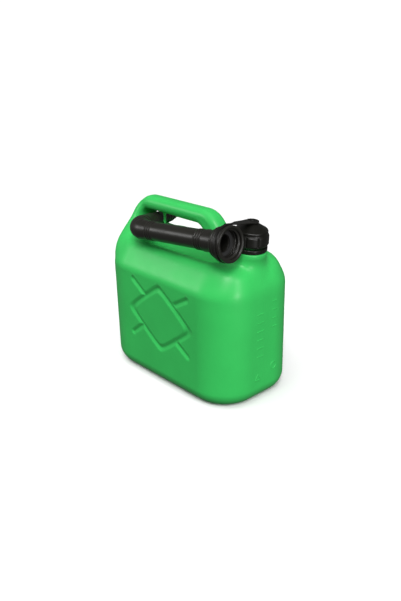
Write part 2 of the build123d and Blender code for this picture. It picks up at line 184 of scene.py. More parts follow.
def smooth_min(a, b, width):
    """Union of two fields with a soft fillet."""
    h = np.clip(0.5 + 0.5 * (b - a) / width, 0, 1)
    return b * (1 - h) + a * h - width * h * (1 - h)


def smooth_step(value, low, high):
    """Soft ramp from 0 at low to 1 at high."""
    t = np.clip((value - low) / (high - low), 0, 1)
    return t * t * (3 - 2 * t)


def smooth_curve(heights, values):
    """Dense, gently rounded table through a few values over height."""
    samples, reach, spread = 181, 22, 9.0
    dense = np.linspace(heights[0], heights[-1], samples)
    line = np.interp(dense, heights, values)
    weights = np.exp(-0.5 * (np.arange(-reach, reach + 1) / spread) ** 2)
    padded = np.pad(line, reach, mode="reflect", reflect_type="odd")
    return dense, np.convolve(padded, weights / weights.sum(), mode="valid")


LEG_TABLES = [smooth_curve(LEG_HEIGHTS, values) for values in (LEG_REAR, LEG_FRONT, LEG_HALF_WIDTH)]


def rounded_rectangle(x, y, half_length, half_width, radius):
    """Distance from a rectangle with rounded corners, centred on the origin."""
    u = np.abs(x) - half_length + radius
    v = np.abs(y) - half_width + radius
    return np.minimum(np.maximum(u, v), 0) + np.hypot(np.maximum(u, 0), np.maximum(v, 0)) - radius


def box_field(x, y, z):
    """Main box of the can: plan outline, base, shoulders and the troughs in the roof."""
    corner = np.where(x > 0, FRONT_RADIUS, REAR_RADIUS)
    plan = rounded_rectangle(x, y, HALF_LENGTH, HALF_WIDTH, corner)
    window = smooth_step(x, *TROUGH_FADE_IN) * (1 - smooth_step(x, *TROUGH_FADE_OUT))
    trough = TROUGH_DEPTH * np.exp(-(((np.abs(y) - TROUGH_Y) / TROUGH_WIDTH) ** 2)) * window
    body = round_max(plan, z - ROOF + trough, SHOULDER_RADIUS)
    u = np.maximum(np.abs(x) - HALF_LENGTH + corner, 0.01)
    v = np.maximum(np.abs(y) - HALF_WIDTH + corner, 0.01)
    slope = END_SLOPE + (SIDE_SLOPE - END_SLOPE) * v * v / (u * u + v * v)
    crease = plan * np.cos(slope) + (z - SHOULDER_CREASE) * np.sin(slope)
    body = -smooth_min(-body, -crease, CREASE_SOFTNESS)
    body = round_max(body, -z, BASE_RADIUS)
    half_length, half_width = HALF_LENGTH - RECESS_INSET, HALF_WIDTH - RECESS_INSET
    recess = rounded_rectangle(x, y, half_length, half_width, RECESS_RADIUS)
    recess = np.maximum(recess, z - RECESS_DEPTH)
    return round_max(body, -recess, RECESS_EDGE)


def rear_leg_field(x, y, z):
    """Rear leg of the handle, which fades into the shoulder at its lower end."""
    rear, front, half_width = (np.interp(z, *table) for table in LEG_TABLES)
    half_length = (front - rear) / 2
    radius = np.minimum(half_length, half_width) * LEG_ROUNDNESS
    leg = rounded_rectangle(x - (rear + front) / 2, y, half_length, half_width, radius)
    leg = leg + LEG_FADE_DEPTH * (1 - smooth_step(z, *LEG_FADE))
    leg = np.maximum(leg, LEG_HEIGHTS[0] - z)
    return round_max(leg, z - LEG_TOP, LEG_TOP_RADIUS)


def opening_field(x, z):
    """Hand opening seen from the side: negative in the gap."""
    gap = round_max(OPENING_REAR - x, z - HANDLE_UNDERSIDE, OPENING_REAR_RADIUS)
    front = (x - OPENING_FRONT) * HANDLE_FRONT[1] + (z - HANDLE_UNDERSIDE) * HANDLE_FRONT[2]
    gap = fillet_max(gap, front, OPENING_FRONT_RADIUS, HANDLE_FRONT[2])
    return round_max(gap, OPENING_FLOOR - z, OPENING_FLOOR_RADIUS)


def handle_field(x, y, z):
    """Handle bar with its sloping ends, round the hand opening."""
    rear = (x - HANDLE_REAR[0]) * HANDLE_REAR[1] + (z - HANDLE_TOP) * HANDLE_REAR[2]
    front = (x - HANDLE_FRONT[0]) * HANDLE_FRONT[1] + (z - HANDLE_TOP) * HANDLE_FRONT[2]
    side = fillet_max(rear, z - HANDLE_TOP, HANDLE_REAR_RADIUS, HANDLE_REAR[2])
    side = fillet_max(side, front, HANDLE_FRONT_RADIUS, HANDLE_FRONT[2])
    side = np.maximum(side, -opening_field(x, z))
    side = side + HANDLE_FADE_DEPTH * (1 - smooth_step(z, *HANDLE_FADE))
    side = np.maximum(side, HANDLE_FOOT - z)
    return round_max(side, np.abs(y) - HANDLE_HALF_WIDTH, HANDLE_EDGE)


def web_field(x, y, z):
    web = np.maximum(np.abs(x - WEB_X) - WEB_HALF_LENGTH, np.abs(y) - WEB_HALF_WIDTH)
    return np.maximum(web, np.maximum(z - WEB_TOP, WEB_FOOT - z))


def neck_coordinates(x, y, z):
    """Radius from the neck axis and height along it."""
    px, py, pz = x - SEAT[0], y - SEAT[1], z - SEAT[2]
    height = px * NECK_AXIS[0] + py * NECK_AXIS[1] + pz * NECK_AXIS[2]
    square = px * px + py * py + pz * pz - height * height
    return np.sqrt(np.maximum(square, 0)), height


def groove_field(x, z):
    """Depth of the side relief, from 0 to 1."""
    centre_x, centre_z, half_length, half_height = DIAMOND
    soft_x = np.hypot(x - centre_x, DIAMOND_SOFTNESS) - DIAMOND_SHIFT
    soft_z = np.hypot(z - centre_z, DIAMOND_SOFTNESS) - DIAMOND_SHIFT
    edge = math.hypot(half_length, half_height)
    area = half_length * half_height
    distance = np.abs((soft_x * half_height + soft_z * half_length - area) / edge)
    for (ax, az), (bx, bz) in ARMS:
        length_squared = (bx - ax) ** 2 + (bz - az) ** 2
        t = np.clip(((x - ax) * (bx - ax) + (z - az) * (bz - az)) / length_squared, 0, 1)
        distance = np.minimum(distance, np.hypot(x - ax - t * (bx - ax), z - az - t * (bz - az)))
    return 1 - smooth_step(distance, 0.0, GROOVE_HALF_WIDTH)


def can_field(x, y, z):
    """The whole can without its threaded neck."""
    body = box_field(x, y, z)
    side = smooth_step(np.abs(y), *GROOVE_BAND)
    body = body + GROOVE_DEPTH * groove_field(x, z) * side
    body = smooth_min(body, rear_leg_field(x, y, z), LEG_BLEND)
    body = smooth_min(body, handle_field(x, y, z), HANDLE_BLEND)
    tunnel = np.maximum(opening_field(x, z), x - TUNNEL_FRONT)
    tunnel = np.maximum(tunnel, np.abs(y) - TUNNEL_HALF_WIDTH)
    body = round_max(body, -tunnel, TUNNEL_EDGE)
    body = smooth_min(body, web_field(x, y, z), WEB_BLEND)
    radius, height = neck_coordinates(x, y, z)
    boss_radius = BOSS_RADIUS - BOSS_TAPER * np.maximum(BOSS_TAPER_START - height, 0)
    boss = round_max(radius - boss_radius, height, BOSS_EDGE)
    body = smooth_min(body, np.maximum(boss, BOSS_FOOT - height), BOSS_BLEND)
    bore = np.maximum(radius - BORE_RADIUS, BORE_FOOT - height)
    pocket = np.sqrt((x - POCKET_X) ** 2 + y**2 + (z - POCKET_Z) ** 2) - POCKET_RADIUS
    return np.maximum(body, -np.minimum(bore, pocket))


# ---------------------------------------------------------------- field to mesh
def pulled_onto(field, points, step):
    """Points moved along the slope of a field onto its zero surface, and the normals there."""
    small, flattest, passes = 0.05, 0.05, 4
    for _ in range(passes):
        here = field(*points.T)
        shifted = [field(*(points + small * np.eye(3)[i]).T) for i in range(3)]
        slope = np.stack([(there - here) / small for there in shifted], 1)
        travel = np.clip(here / np.maximum((slope**2).sum(1), flattest), -step, step)
        points = points - slope * travel[:, None]
    return points, slope / np.linalg.norm(slope, axis=1)[:, None]


def surface_net(field, low, high, step):
    """Points, quads and normals of the zero surface of a field between two corners."""
    axes = [np.arange(low[i] - 2 * step, high[i] + 3 * step, step) for i in range(3)]
    values = np.empty([len(axis) for axis in axes], np.float32)
    for index, x in enumerate(axes[0]):
        y, z = np.meshgrid(axes[1], axes[2], indexing="ij")
        values[index] = field(np.full_like(y, x), y, z)
    inside = values < 0

    # Cells that the surface passes through: their corners are not all on the same side.
    corner_slices = {}
    for corner in np.ndindex(2, 2, 2):
        corner_slices[corner] = tuple(slice(c, c + n - 1) for c, n in zip(corner, values.shape))
    mixed = np.zeros([n - 1 for n in values.shape], bool)
    first = inside[corner_slices[(0, 0, 0)]]
    for part in corner_slices.values():
        mixed |= inside[part] != first
    cells = np.argwhere(mixed)
    number = np.full(mixed.shape, -1, np.int64)
    number[tuple(cells.T)] = np.arange(len(cells))

    # One point in each, at the mean of the places where its edges cross the surface.
    total = np.zeros((len(cells), 3))
    count = np.zeros(len(cells))
    for axis in range(3):
        for other in np.ndindex(2, 2):
            start = list(other)
            start.insert(axis, 0)
            end = list(other)
            end.insert(axis, 1)
            a = values[tuple((cells + start).T)].astype(float)
            b = values[tuple((cells + end).T)].astype(float)
            cross = (a < 0) != (b < 0)
            t = np.where(cross, a / np.where(cross, a - b, 1), 0)
            point = np.tile(np.array(start, float), (len(cells), 1))
            point[:, axis] = t
            total += point * cross[:, None]
            count += cross
    origin = np.array([axis[0] for axis in axes])
    points = origin + (cells + total / count[:, None]) * step

    # One quad round each grid edge that crosses the surface, turned to face outward.
    faces = []
    for axis in range(3):
        u, v = (axis + 1) % 3, (axis + 2) % 3
        low_side = [slice(None)] * 3
        high_side = [slice(None)] * 3
        low_side[axis] = slice(0, -1)
        high_side[axis] = slice(1, None)
        changes = inside[tuple(low_side)] != inside[tuple(high_side)]
        edges = np.argwhere(changes)
        edges = edges[(edges[:, u] > 0) & (edges[:, v] > 0)]
        ring = []
        for du, dv in ((-1, -1), (0, -1), (0, 0), (-1, 0)):
            cell = edges.copy()
            cell[:, u] += du
            cell[:, v] += dv
            ring.append(number[tuple(cell.T)])
        quads = np.stack(ring, 1)
        reversed_quads = ~inside[tuple(edges.T)]
        quads[reversed_quads] = quads[reversed_quads][:, ::-1]
        faces.append(quads)
    points, normals = pulled_onto(field, points, step)
    return points, np.concatenate(faces), normals


def mesh_object(name, points_mm, faces, normals=None):
    """Smooth-shaded object from arrays of points and quads."""
    mesh = bpy.data.meshes.new(name)
    mesh.from_pydata((np.asarray(points_mm, float) * MM).tolist(), [], faces.tolist())
    mesh.validate()
    mesh.polygons.foreach_set("use_smooth", [True] * len(mesh.polygons))
    mesh.update()
    if normals is not None:
        mesh.normals_split_custom_set_from_vertices([tuple(n) for n in normals])
    piece = bpy.data.objects.new(name, mesh)
    bpy.context.scene.collection.objects.link(piece)
    return piece


# ---------------------------------------------------------------- turned and swept meshes
def basis(axis):
    """Two unit vectors square to axis; the first lies as near to -Z as it can."""
    axis = np.asarray(axis, float)
    first = np.array([0.0, 0.0, -1.0]) - axis * -axis[2]
    if np.linalg.norm(first) < 0.3:
        first = np.array([1.0, 0.0, 0.0]) - axis * axis[0]
    first = first / np.linalg.norm(first)
    return first, np.cross(axis, first)


def rounded(points, radius=0.4, steps=4):
    """Closed outline with its corners rounded; a corner may give its own radius as a third number."""
    points = [tuple(point) + (radius,) * (3 - len(point)) for point in points]
    result = []
    for index, (cx, cy, size) in enumerate(points):
        corner = np.array([cx, cy])
        before = np.array(points[index - 1][:2]) - corner
        after = np.array(points[(index + 1) % len(points)][:2]) - corner
        reach = min(size, 0.45 * np.linalg.norm(before), 0.45 * np.linalg.norm(after))
        if size <= 0:
            result.append(corner)
            continue
        start = corner + before / np.linalg.norm(before) * reach
        end = corner + after / np.linalg.norm(after) * reach
        for step in range(steps + 1):
            t = step / steps
            result.append((1 - t) ** 2 * start + 2 * t * (1 - t) * corner + t**2 * end)
    return np.array(result)


def divided(outline, longest):
    """Outline with points added so that no side is longer than longest."""
    result = []
    for here, there in zip(outline, np.roll(outline, -1, axis=0)):
        parts = max(1, math.ceil(np.linalg.norm(there - here) / longest))
        result += [here + (there - here) * part / parts for part in range(parts)]
    return np.array(result)


def ring_mesh(rings, closed):
    """Points and quads of a skin over rings of points; closed joins the last ring to the first."""
    count, around = rings.shape[:2]
    points = rings.reshape(-1, 3)
    last = count if closed else count - 1
    i, j = np.meshgrid(np.arange(last), np.arange(around), indexing="ij")
    a = i * around + j
    b = i * around + (j + 1) % around
    c = ((i + 1) % count) * around + (j + 1) % around
    d = ((i + 1) % count) * around + j
    return points, np.stack([a, b, c, d], -1).reshape(-1, 4)


def outward(piece):
    """Turns every face outward and lets large faces lead the shading."""
    work = bmesh.new()
    work.from_mesh(piece.data)
    bmesh.ops.remove_doubles(work, verts=work.verts, dist=1e-6)
    bmesh.ops.recalc_face_normals(work, faces=work.faces)
    work.to_mesh(piece.data)
    work.free()
    weighted = piece.modifiers.new("weighted", "WEIGHTED_NORMAL")
    weighted.keep_sharp = False
    return piece


def turned(name, origin, axis, outline, around, relief=None):
    """Lathe piece from a closed outline of (radius, height).

    relief(angle, radius, height), where there is one, adds to the radius.
    """
    first, second = basis(axis)
    angle = np.linspace(0, 2 * math.pi, around, endpoint=False)
    radius, height = outline[:, 0:1], outline[:, 1:2]
    shape = np.broadcast_to(radius, (len(outline), around)).copy()
    if relief is not None:
        shape += relief(angle[None, :], radius, height)
    direction = np.cos(angle)[:, None] * first + np.sin(angle)[:, None] * second
    rings = np.asarray(origin) + height[:, :, None] * np.asarray(axis)
    rings = rings + shape[:, :, None] * direction[None]
    points, faces = ring_mesh(rings, closed=True)
    return outward(mesh_object(name, points, faces))


def helix_ridge(angle, height, start, turns, half_width, depth):
    """Height of a thread ridge at an angle and height; it fades in and out at its two ends."""
    flank, fade = 0.55, 0.06
    result = np.zeros(np.broadcast(angle, height).shape)
    for lap in range(math.ceil(turns) + 1):
        turn = angle / (2 * math.pi) + lap
        offset = np.abs(height - start - THREAD_PITCH * turn)
        ridge = smooth_step(half_width - offset, 0, half_width * flank)
        ends = smooth_step(turn, 0.0, fade) * (1 - smooth_step(turn, turns - fade, turns))
        result = np.maximum(result, depth * ridge * ends)
    return result


# ---------------------------------------------------------------- materials
MOTTLE_SCALE = 14.0
SCUFF_SCALE = 160.0
GLOSS_SCALE = 45.0
WAVE_SCALE = 16.0
NOISE_SPAN = (0.3, 0.7)
SEAM_HALF_WIDTH = 0.7
SEAM_HEIGHT = 0.12
EDGE_POINTINESS = (0.53, 0.62)
GLOSS_SPREAD = 0.035
WORN_ROUGHNESS = 0.15


def plastic(name, colour, roughness, grain, grain_depth, tint, wear, wave_depth=0.0, seam=False,
            specular=0.5):
    """Moulded plastic: mottled colour, uneven gloss, fine grain, soft waves and rubbed edges.

    colour is linear, grain is a noise scale, depths are in millimetres, and seam adds the mould's
    parting line along the middle of the object.
    """
    material = bpy.data.materials.new(name)
    material.use_nodes = True
    nodes, links = material.node_tree.nodes, material.node_tree.links
    shader = nodes["Principled BSDF"]
    place = nodes.new("ShaderNodeTexCoord").outputs["Object"]

    def noise(scale, detail, rough=0.55):
        texture = nodes.new("ShaderNodeTexNoise")
        texture.inputs["Scale"].default_value = scale
        texture.inputs["Detail"].default_value = detail
        texture.inputs["Roughness"].default_value = rough
        links.new(place, texture.inputs["Vector"])
        return texture.outputs["Fac"]

    def remap(value, low, high, to_low, to_high):
        node = nodes.new("ShaderNodeMapRange")
        sockets = ("From Min", "From Max", "To Min", "To Max")
        for socket, number in zip(sockets, (low, high, to_low, to_high)):
            node.inputs[socket].default_value = number
        links.new(value, node.inputs["Value"])
        return node.outputs["Result"]

    def mix(factor, a, b):
        node = nodes.new("ShaderNodeMix")
        node.data_type = "RGBA"
        links.new(factor, node.inputs["Factor"])
        for socket, value in ((node.inputs[6], a), (node.inputs[7], b)):
            if isinstance(value, tuple):
                socket.default_value = (*value, 1)
            else:
                links.new(value, socket)
        return node.outputs[2]

    def maths(operation, a, b):
        node = nodes.new("ShaderNodeMath")
        node.operation = operation
        for socket, value in zip(node.inputs, (a, b)):
            if isinstance(value, (int, float)):
                socket.default_value = value
            else:
                links.new(value, socket)
        return node.outputs[0]

    deep = tuple(channel * (1 - tint) for channel in colour)
    pale = tuple(min(1.0, channel * (1 + tint)) for channel in colour)
    mottled = mix(remap(noise(MOTTLE_SCALE, 3.0), *NOISE_SPAN, 0, 1), deep, pale)
    pointiness = nodes.new("ShaderNodeNewGeometry").outputs["Pointiness"]
    edges = remap(pointiness, *EDGE_POINTINESS, 0, wear)
    scuffs = remap(noise(SCUFF_SCALE, 4.0, 0.7), 0.45, 0.7, 0.2, 1)
    rubbed = tuple(0.075 + 0.85 * channel for channel in colour)
    worn = mix(maths("MULTIPLY", edges, scuffs), mottled, rubbed)
    links.new(worn, shader.inputs["Base Color"])
    glossiest, dullest = roughness - GLOSS_SPREAD, roughness + GLOSS_SPREAD
    gloss = remap(noise(GLOSS_SCALE, 3.0), *NOISE_SPAN, glossiest, dullest)
    worn_gloss = maths("ADD", gloss, maths("MULTIPLY", edges, WORN_ROUGHNESS))
    links.new(worn_gloss, shader.inputs["Roughness"])
    shader.inputs["Specular IOR Level"].default_value = specular

    heights = maths("MULTIPLY", noise(grain, 2.0), grain_depth * MM)
    if wave_depth:
        waves = maths("MULTIPLY", noise(WAVE_SCALE, 1.0, 0.4), wave_depth * MM)
        heights = maths("ADD", heights, waves)
    if seam:
        parts = nodes.new("ShaderNodeSeparateXYZ")
        links.new(place, parts.inputs[0])
        off_centre = maths("ABSOLUTE", parts.outputs["Y"], 0.0)
        line = remap(off_centre, 0.0, SEAM_HALF_WIDTH * MM, SEAM_HEIGHT * MM, 0.0)
        heights = maths("ADD", heights, line)
    bump = nodes.new("ShaderNodeBump")
    bump.inputs["Strength"].default_value = 1.0
    bump.inputs["Distance"].default_value = 1.0
    links.new(heights, bump.inputs["Height"])
    links.new(bump.outputs["Normal"], shader.inputs["Normal"])
    return material


def matt_white(name, colour, roughness):
    """Even, matt white for the floor."""
    material = bpy.data.materials.new(name)
    material.use_nodes = True
    shader = material.node_tree.nodes["Principled BSDF"]
    shader.inputs["Base Color"].default_value = (*colour, 1)
    shader.inputs["Roughness"].default_value = roughness
    shader.inputs["Specular IOR Level"].default_value = 0.2
    return material


GREEN = plastic(
    "green_polyethylene", (0.040, 0.530, 0.108), roughness=0.36, grain=900.0, grain_depth=0.010,
    tint=0.05, wear=0.5, wave_depth=0.25, seam=True, specular=0.33,
)
CAP_BLACK = plastic(
    "cap_black", (0.0060, 0.0060, 0.0045), roughness=0.38, grain=1500.0, grain_depth=0.008,
    tint=0.15, wear=0.10, specular=0.35,
)
SPOUT_BLACK = plastic(
    "spout_black", (0.0135, 0.013, 0.0105), roughness=0.36, grain=1300.0, grain_depth=0.010,
    tint=0.15, wear=0.10, wave_depth=0.10, specular=0.45,
)
LINER = plastic(
    "liner_white", (0.610, 0.610, 0.552), roughness=0.42, grain=1400.0, grain_depth=0.006,
    tint=0.03, wear=0.05,
)
FOAM = plastic(
    "seal_foam", (0.552, 0.552, 0.491), roughness=0.75, grain=2600.0, grain_depth=0.05,
    tint=0.05, wear=0.05,
)
RUBBER = plastic(
    "gasket_rubber", (0.016, 0.016, 0.016), roughness=0.62, grain=1800.0, grain_depth=0.01,
    tint=0.15, wear=0.10,
)


def dress(piece, material, body, slot_name, *nodes):
    """Gives a piece its material and body and hides the CAD nodes it stands for; slot_name is not used."""
    piece.data.materials.clear()
    piece.data.materials.append(material)
    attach(piece, body)
    if nodes:
        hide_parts(*nodes)
    return piece


# ---------------------------------------------------------------- can
points, faces, normals = surface_net(can_field, CAN_LOW, CAN_HIGH, GRID_STEP)
dress(mesh_object("can_shell", points, faces, normals), GREEN, "can", "green_plastic", "can_body")

# Outlines of turned pieces are (radius, height along the axis, corner radius where it is its own).
neck_outline = divided(rounded([
    (14.6, -26.0), (16.8, -26.0), (16.8, 6.0, 0.3),
    (17.9, 6.3, 0.3), (17.9, 7.3, 0.3), (16.8, 7.6, 0.3),
    (16.8, 20.8, 0.8), (14.6, 20.8, 0.5),
], 0.3), 0.35)


def neck_thread(angle, radius, height):
    """Thread on the outside of the neck only."""
    ridge = helix_ridge(angle, height, start=10.5, turns=1.75, half_width=1.2, depth=1.5)
    return np.where(radius > BORE_RADIUS, ridge, 0)


neck = turned("can_neck", SEAT, NECK_AXIS, neck_outline, around=144, relief=neck_thread)
dress(neck, GREEN, "can", "green_plastic")


# ---------------------------------------------------------------- raised marks on the front wall
MARK_HEIGHT = 0.45
MARK_WIDTH = 1.5
MARK_SUNK = 0.15
MARK_ENDS = (0.05, 0.7, 0.93)
# Columns of bars: (centre y, lowest z, number of bars, length). Circle, triangle: (y, z, radius).
BAR_COLUMNS = ((-6.0, 67.0, 6, 13.0), (20.0, 103.0, 4, 9.0))
BAR_PITCH = 12.0
CIRCLE = (20, 45, 5.3)
TRIANGLE = (-10, 36, 6)


def wall_point(y, z, proud):
    """Point on the rounded front wall, proud of it by a little, and the wall's normal there."""
    flat = HALF_WIDTH - FRONT_RADIUS
    over = max(abs(y) - flat, 0)
    turn = math.asin(over / FRONT_RADIUS)
    normal = np.array([math.cos(turn), math.copysign(math.sin(turn), y), 0])
    centre = np.array([HALF_LENGTH - FRONT_RADIUS, math.copysign(min(abs(y), flat), y), z])
    return centre + normal * (FRONT_RADIUS + proud), normal


def raised_line(path, closed):
    """Rounded raised line along a path of (y, z) points; an open one tapers at its two ends."""
    path = np.array(path, float)
    count = len(path)
    rings = []
    upright = np.array([0, 0, 1.0])
    for index, (y, z) in enumerate(path):
        if closed:
            along = path[(index + 1) % count] - path[index - 1]
            size = 1.0
        else:
            along = path[min(index + 1, count - 1)] - path[max(index - 1, 0)]
            end = min(index, count - 1 - index)
            size = MARK_ENDS[end] if end < len(MARK_ENDS) else 1.0
        along = along / np.linalg.norm(along)
        place, normal = wall_point(y, z, -MARK_SUNK)
        across = -along[1] * np.cross(upright, normal) + along[0] * upright
        angle = np.linspace(0, 2 * math.pi, 12, endpoint=False)
        wide = MARK_WIDTH / 2 * np.cos(angle)[:, None] * across
        tall = (MARK_HEIGHT + MARK_SUNK) * np.sin(angle)[:, None] * normal
        rings.append(place + size * (wide + tall))
    return ring_mesh(np.array(rings), closed)


def bar_path(centre_y, z, length):
    """Level path whose points lie closer together at its ends, where the line tapers."""
    near = [0, 0.2 / length, 0.6 / length]
    middle = list(np.linspace(1.2 / length, 1 - 1.2 / length, 8))
    steps = near + middle + [1 - t for t in reversed(near)]
    return [(centre_y - length / 2 + t * length, z) for t in steps]


def circle_path(centre_y, centre_z, radius):
    turns = np.linspace(0, 2 * math.pi, 40, endpoint=False)
    return [(centre_y + radius * math.cos(a), centre_z + radius * math.sin(a)) for a in turns]


def triangle_path(centre_y, centre_z, radius):
    turns = np.radians((0, 120, 240))
    corners = [(centre_y + radius * math.sin(a), centre_z + radius * math.cos(a)) for a in turns]
    return divided(rounded(corners, 1.6), 1.2)


marks = []
for centre_y, low_z, bars, length in BAR_COLUMNS:
    for bar in range(bars):
        marks.append(raised_line(bar_path(centre_y, low_z + BAR_PITCH * bar, length), closed=False))
marks.append(raised_line(circle_path(*CIRCLE), closed=True))
marks.append(raised_line(triangle_path(*TRIANGLE), closed=True))
mark_points, mark_faces = [], []
for part_points, part_faces in marks:
    mark_faces.append(part_faces + sum(len(p) for p in mark_points))
    mark_points.append(part_points)
front_marks = mesh_object("front_marks", np.concatenate(mark_points), np.concatenate(mark_faces))
dress(outward(front_marks), GREEN, "can", "green_plastic")

# ---------------------------------------------------------------- tamper ring and cap
RING_BRIDGES = 12
BRIDGE_DEPTH = 0.35
band_outline = divided(rounded([
    (17.4, 0.35), (21.6, 0.35), (22.0, 0.9), (22.0, 4.8), (21.4, 5.45), (17.4, 5.45),
], 0.45), 0.8)


def ring_bridges(angle, radius, height):
    """Shallow dimples left where the ring tore away from the cap."""
    dimple = smooth_step(np.cos(angle * RING_BRIDGES), 0.86, 0.97)
    return np.where((radius > 21) & (height > 4.4), -BRIDGE_DEPTH * dimple, 0)


band = turned("tamper_band", SEAT, NECK_AXIS, band_outline, around=192, relief=ring_bridges)
dress(band, CAP_BLACK, "tamper_ring", "cap_plastic", "tamper_ring")

CAP_LOBES = 9
LOBE_TURN = math.radians(42.0)
LOBE_HEIGHT = 1.6
LOBE_ROUNDING = 0.3
LOBE_SUNK = 0.6
cap_outline = divided(rounded([
    (0.01, 26.8, 0), (18.5, 26.8), (20.2, 25.0), (20.2, 8.7), (19.5, 8.2), (19.5, 7.35, 0.3),
    (21.2, 7.35, 0.3), (22.1, 8.6, 0.5), (21.3, 22.4, 0.6), (20.7, 23.4, 0.6),
    (20.9, 25.9, 0.9), (20.0, 27.3, 0.9), (19.0, 27.6, 0.5),
    (5.6, 35.5, 0.8), (4.9, 37.0, 0.5), (3.4, 37.1, 0.5), (3.0, 36.3, 0.4), (0.01, 36.2, 0),
], 0.5), 0.7)


def cap_lobes(angle, radius, height):
    """Wide convex grip lobes with narrow grooves between them, on the skirt only."""
    phase = np.abs((((angle + LOBE_TURN) * CAP_LOBES / (2 * math.pi) + 0.5) % 1) - 0.5) * 2
    crown = LOBE_HEIGHT * (1 - LOBE_ROUNDING * phase**2)
    crown = crown * smooth_step(1 - phase, 0.05, 0.16) - LOBE_SUNK
    skirt = smooth_step(height, 8.6, 10.4) * (1 - smooth_step(height, 20.4, 22.4))
    return np.where((radius > 20.6) & (height < 24), crown * skirt, 0)


cap = turned("cap_grip", SEAT, NECK_AXIS, cap_outline, around=432, relief=cap_lobes)
dress(cap, CAP_BLACK, "cap_shell", "cap_plastic", "cap_shell")

# ---------------------------------------------------------------- spout collar
COLLAR_BORE = 19.2
collar_outline = divided(rounded([
    (COLLAR_BORE, 1.4), (20.8, 0.1, 0.8), (22.5, 0.1, 0.9), (22.9, 1.2, 0.8), (22.9, 3.6, 0.9),
    (20.6, 5.0, 0.5), (20.6, 6.0, 0.5), (21.9, 6.8, 0.5), (21.9, 10.2, 0.5),
    (20.0, 11.0, 0.5), (20.0, 12.0, 0.5), (21.4, 13.0, 0.7), (21.2, 15.4, 0.7),
    (18.6, 16.6, 0.5), (18.6, 17.4, 0.5), (19.9, 18.4, 0.7), (19.3, 21.0, 1.0), (16.4, 23.6, 1.0),
    (14.5, 24.0), (14.5, 18.3), (16.6, 18.3), (16.6, 12.7), (COLLAR_BORE, 12.2),
], 0.4), 0.4)


def collar_thread(angle, radius, height):
    """Thread inside the bore only."""
    ridge = helix_ridge(angle, height, start=2.0, turns=1.9, half_width=1.3, depth=2.2)
    return np.where(np.abs(radius - COLLAR_BORE) < 0.35, -ridge, 0)


collar = turned("collar_nut", MOUTH, -TUBE_AXIS, collar_outline, around=160, relief=collar_thread)
dress(collar, SPOUT_BLACK, "collar", "spout_plastic", "spout_collar")

# ---------------------------------------------------------------- spout tube
TUBE_LENGTH = 177.9
BEND_RADIUS = 30.0
LEG_LENGTH = 43.5
TUBE_RADIUS = 12.6
TUBE_BORE = 10.8
SLEEVE_RADIUS = 14.1
SLEEVE_END = (40.0, 43.5)
FRONT_RINGS = (45.0, 49.0, 53.0)
FRONT_RING_HEIGHT = 0.9
REAR_RINGS = (136.5, 140.5, 144.5)
REAR_RING_HEIGHT = 0.7
RING_HALF_WIDTH = 1.15
TUBE_STEP = 0.55

# Elbow: a swelling over the bend, with creases (place along the bend from 0 to 1, depth) on its inside.
ELBOW_SWELL = 1.9
ELBOW_MIDDLE = 0.48
ELBOW_REACH = 0.64
CREASES = ((0.02, 1.2), (0.26, 1.8), (0.50, 2.2), (0.76, 1.8), (1.02, 1.2))
CREASE_WIDTH = 0.055
CREASE_FOCUS = 1.3

# Where the lines of the tube and of its short leg would meet, and the bend that rounds that corner.
corner = MOUTH - TUBE_AXIS * TUBE_LENGTH
turn_angle = math.acos(float(np.dot(-TUBE_AXIS, LEG_AXIS)))
tangent = BEND_RADIUS * math.tan(turn_angle / 2)
bend_start = TUBE_LENGTH - tangent
bend_length = BEND_RADIUS * turn_angle
path_end = bend_start + bend_length + LEG_LENGTH - tangent
bend_normal = np.cross(-TUBE_AXIS, LEG_AXIS)
bend_normal /= np.linalg.norm(bend_normal)


def path_frame(distance):
    """Centre, inward side and normal of the spout path at a distance behind the mouth."""
    if distance < bend_start:
        direction = -TUBE_AXIS
        centre = MOUTH + direction * distance
    elif distance < bend_start + bend_length:
        turn = (distance - bend_start) / BEND_RADIUS
        inward = np.cross(bend_normal, -TUBE_AXIS)
        direction = -TUBE_AXIS * math.cos(turn) + inward * math.sin(turn)
        centre = MOUTH - TUBE_AXIS * bend_start
        centre = centre + BEND_RADIUS * (-TUBE_AXIS * math.sin(turn) + inward * (1 - math.cos(turn)))
    else:
        direction = LEG_AXIS
        centre = corner + LEG_AXIS * (tangent + distance - bend_start - bend_length)
    return centre, np.cross(bend_normal, direction), bend_normal


def tube_radius(distance, angle):
    """Outer radius of the spout tube: sleeve, rings and the soft creased elbow."""
    radius = SLEEVE_RADIUS + (TUBE_RADIUS - SLEEVE_RADIUS) * smooth_step(distance, *SLEEVE_END)
    for places, ring_height in ((FRONT_RINGS, FRONT_RING_HEIGHT), (REAR_RINGS, REAR_RING_HEIGHT)):
        for place in places:
            radius += ring_height * np.exp(-(((distance - place) / RING_HALF_WIDTH) ** 4))
    t = (distance - bend_start) / bend_length
    inner = 0.5 + 0.5 * np.cos(angle)
    radius += ELBOW_SWELL * np.exp(-(((t - ELBOW_MIDDLE) / ELBOW_REACH) ** 4))
    for crease, depth in CREASES:
        radius -= depth * inner**CREASE_FOCUS * np.exp(-(((t - crease) / CREASE_WIDTH) ** 2))
    return radius


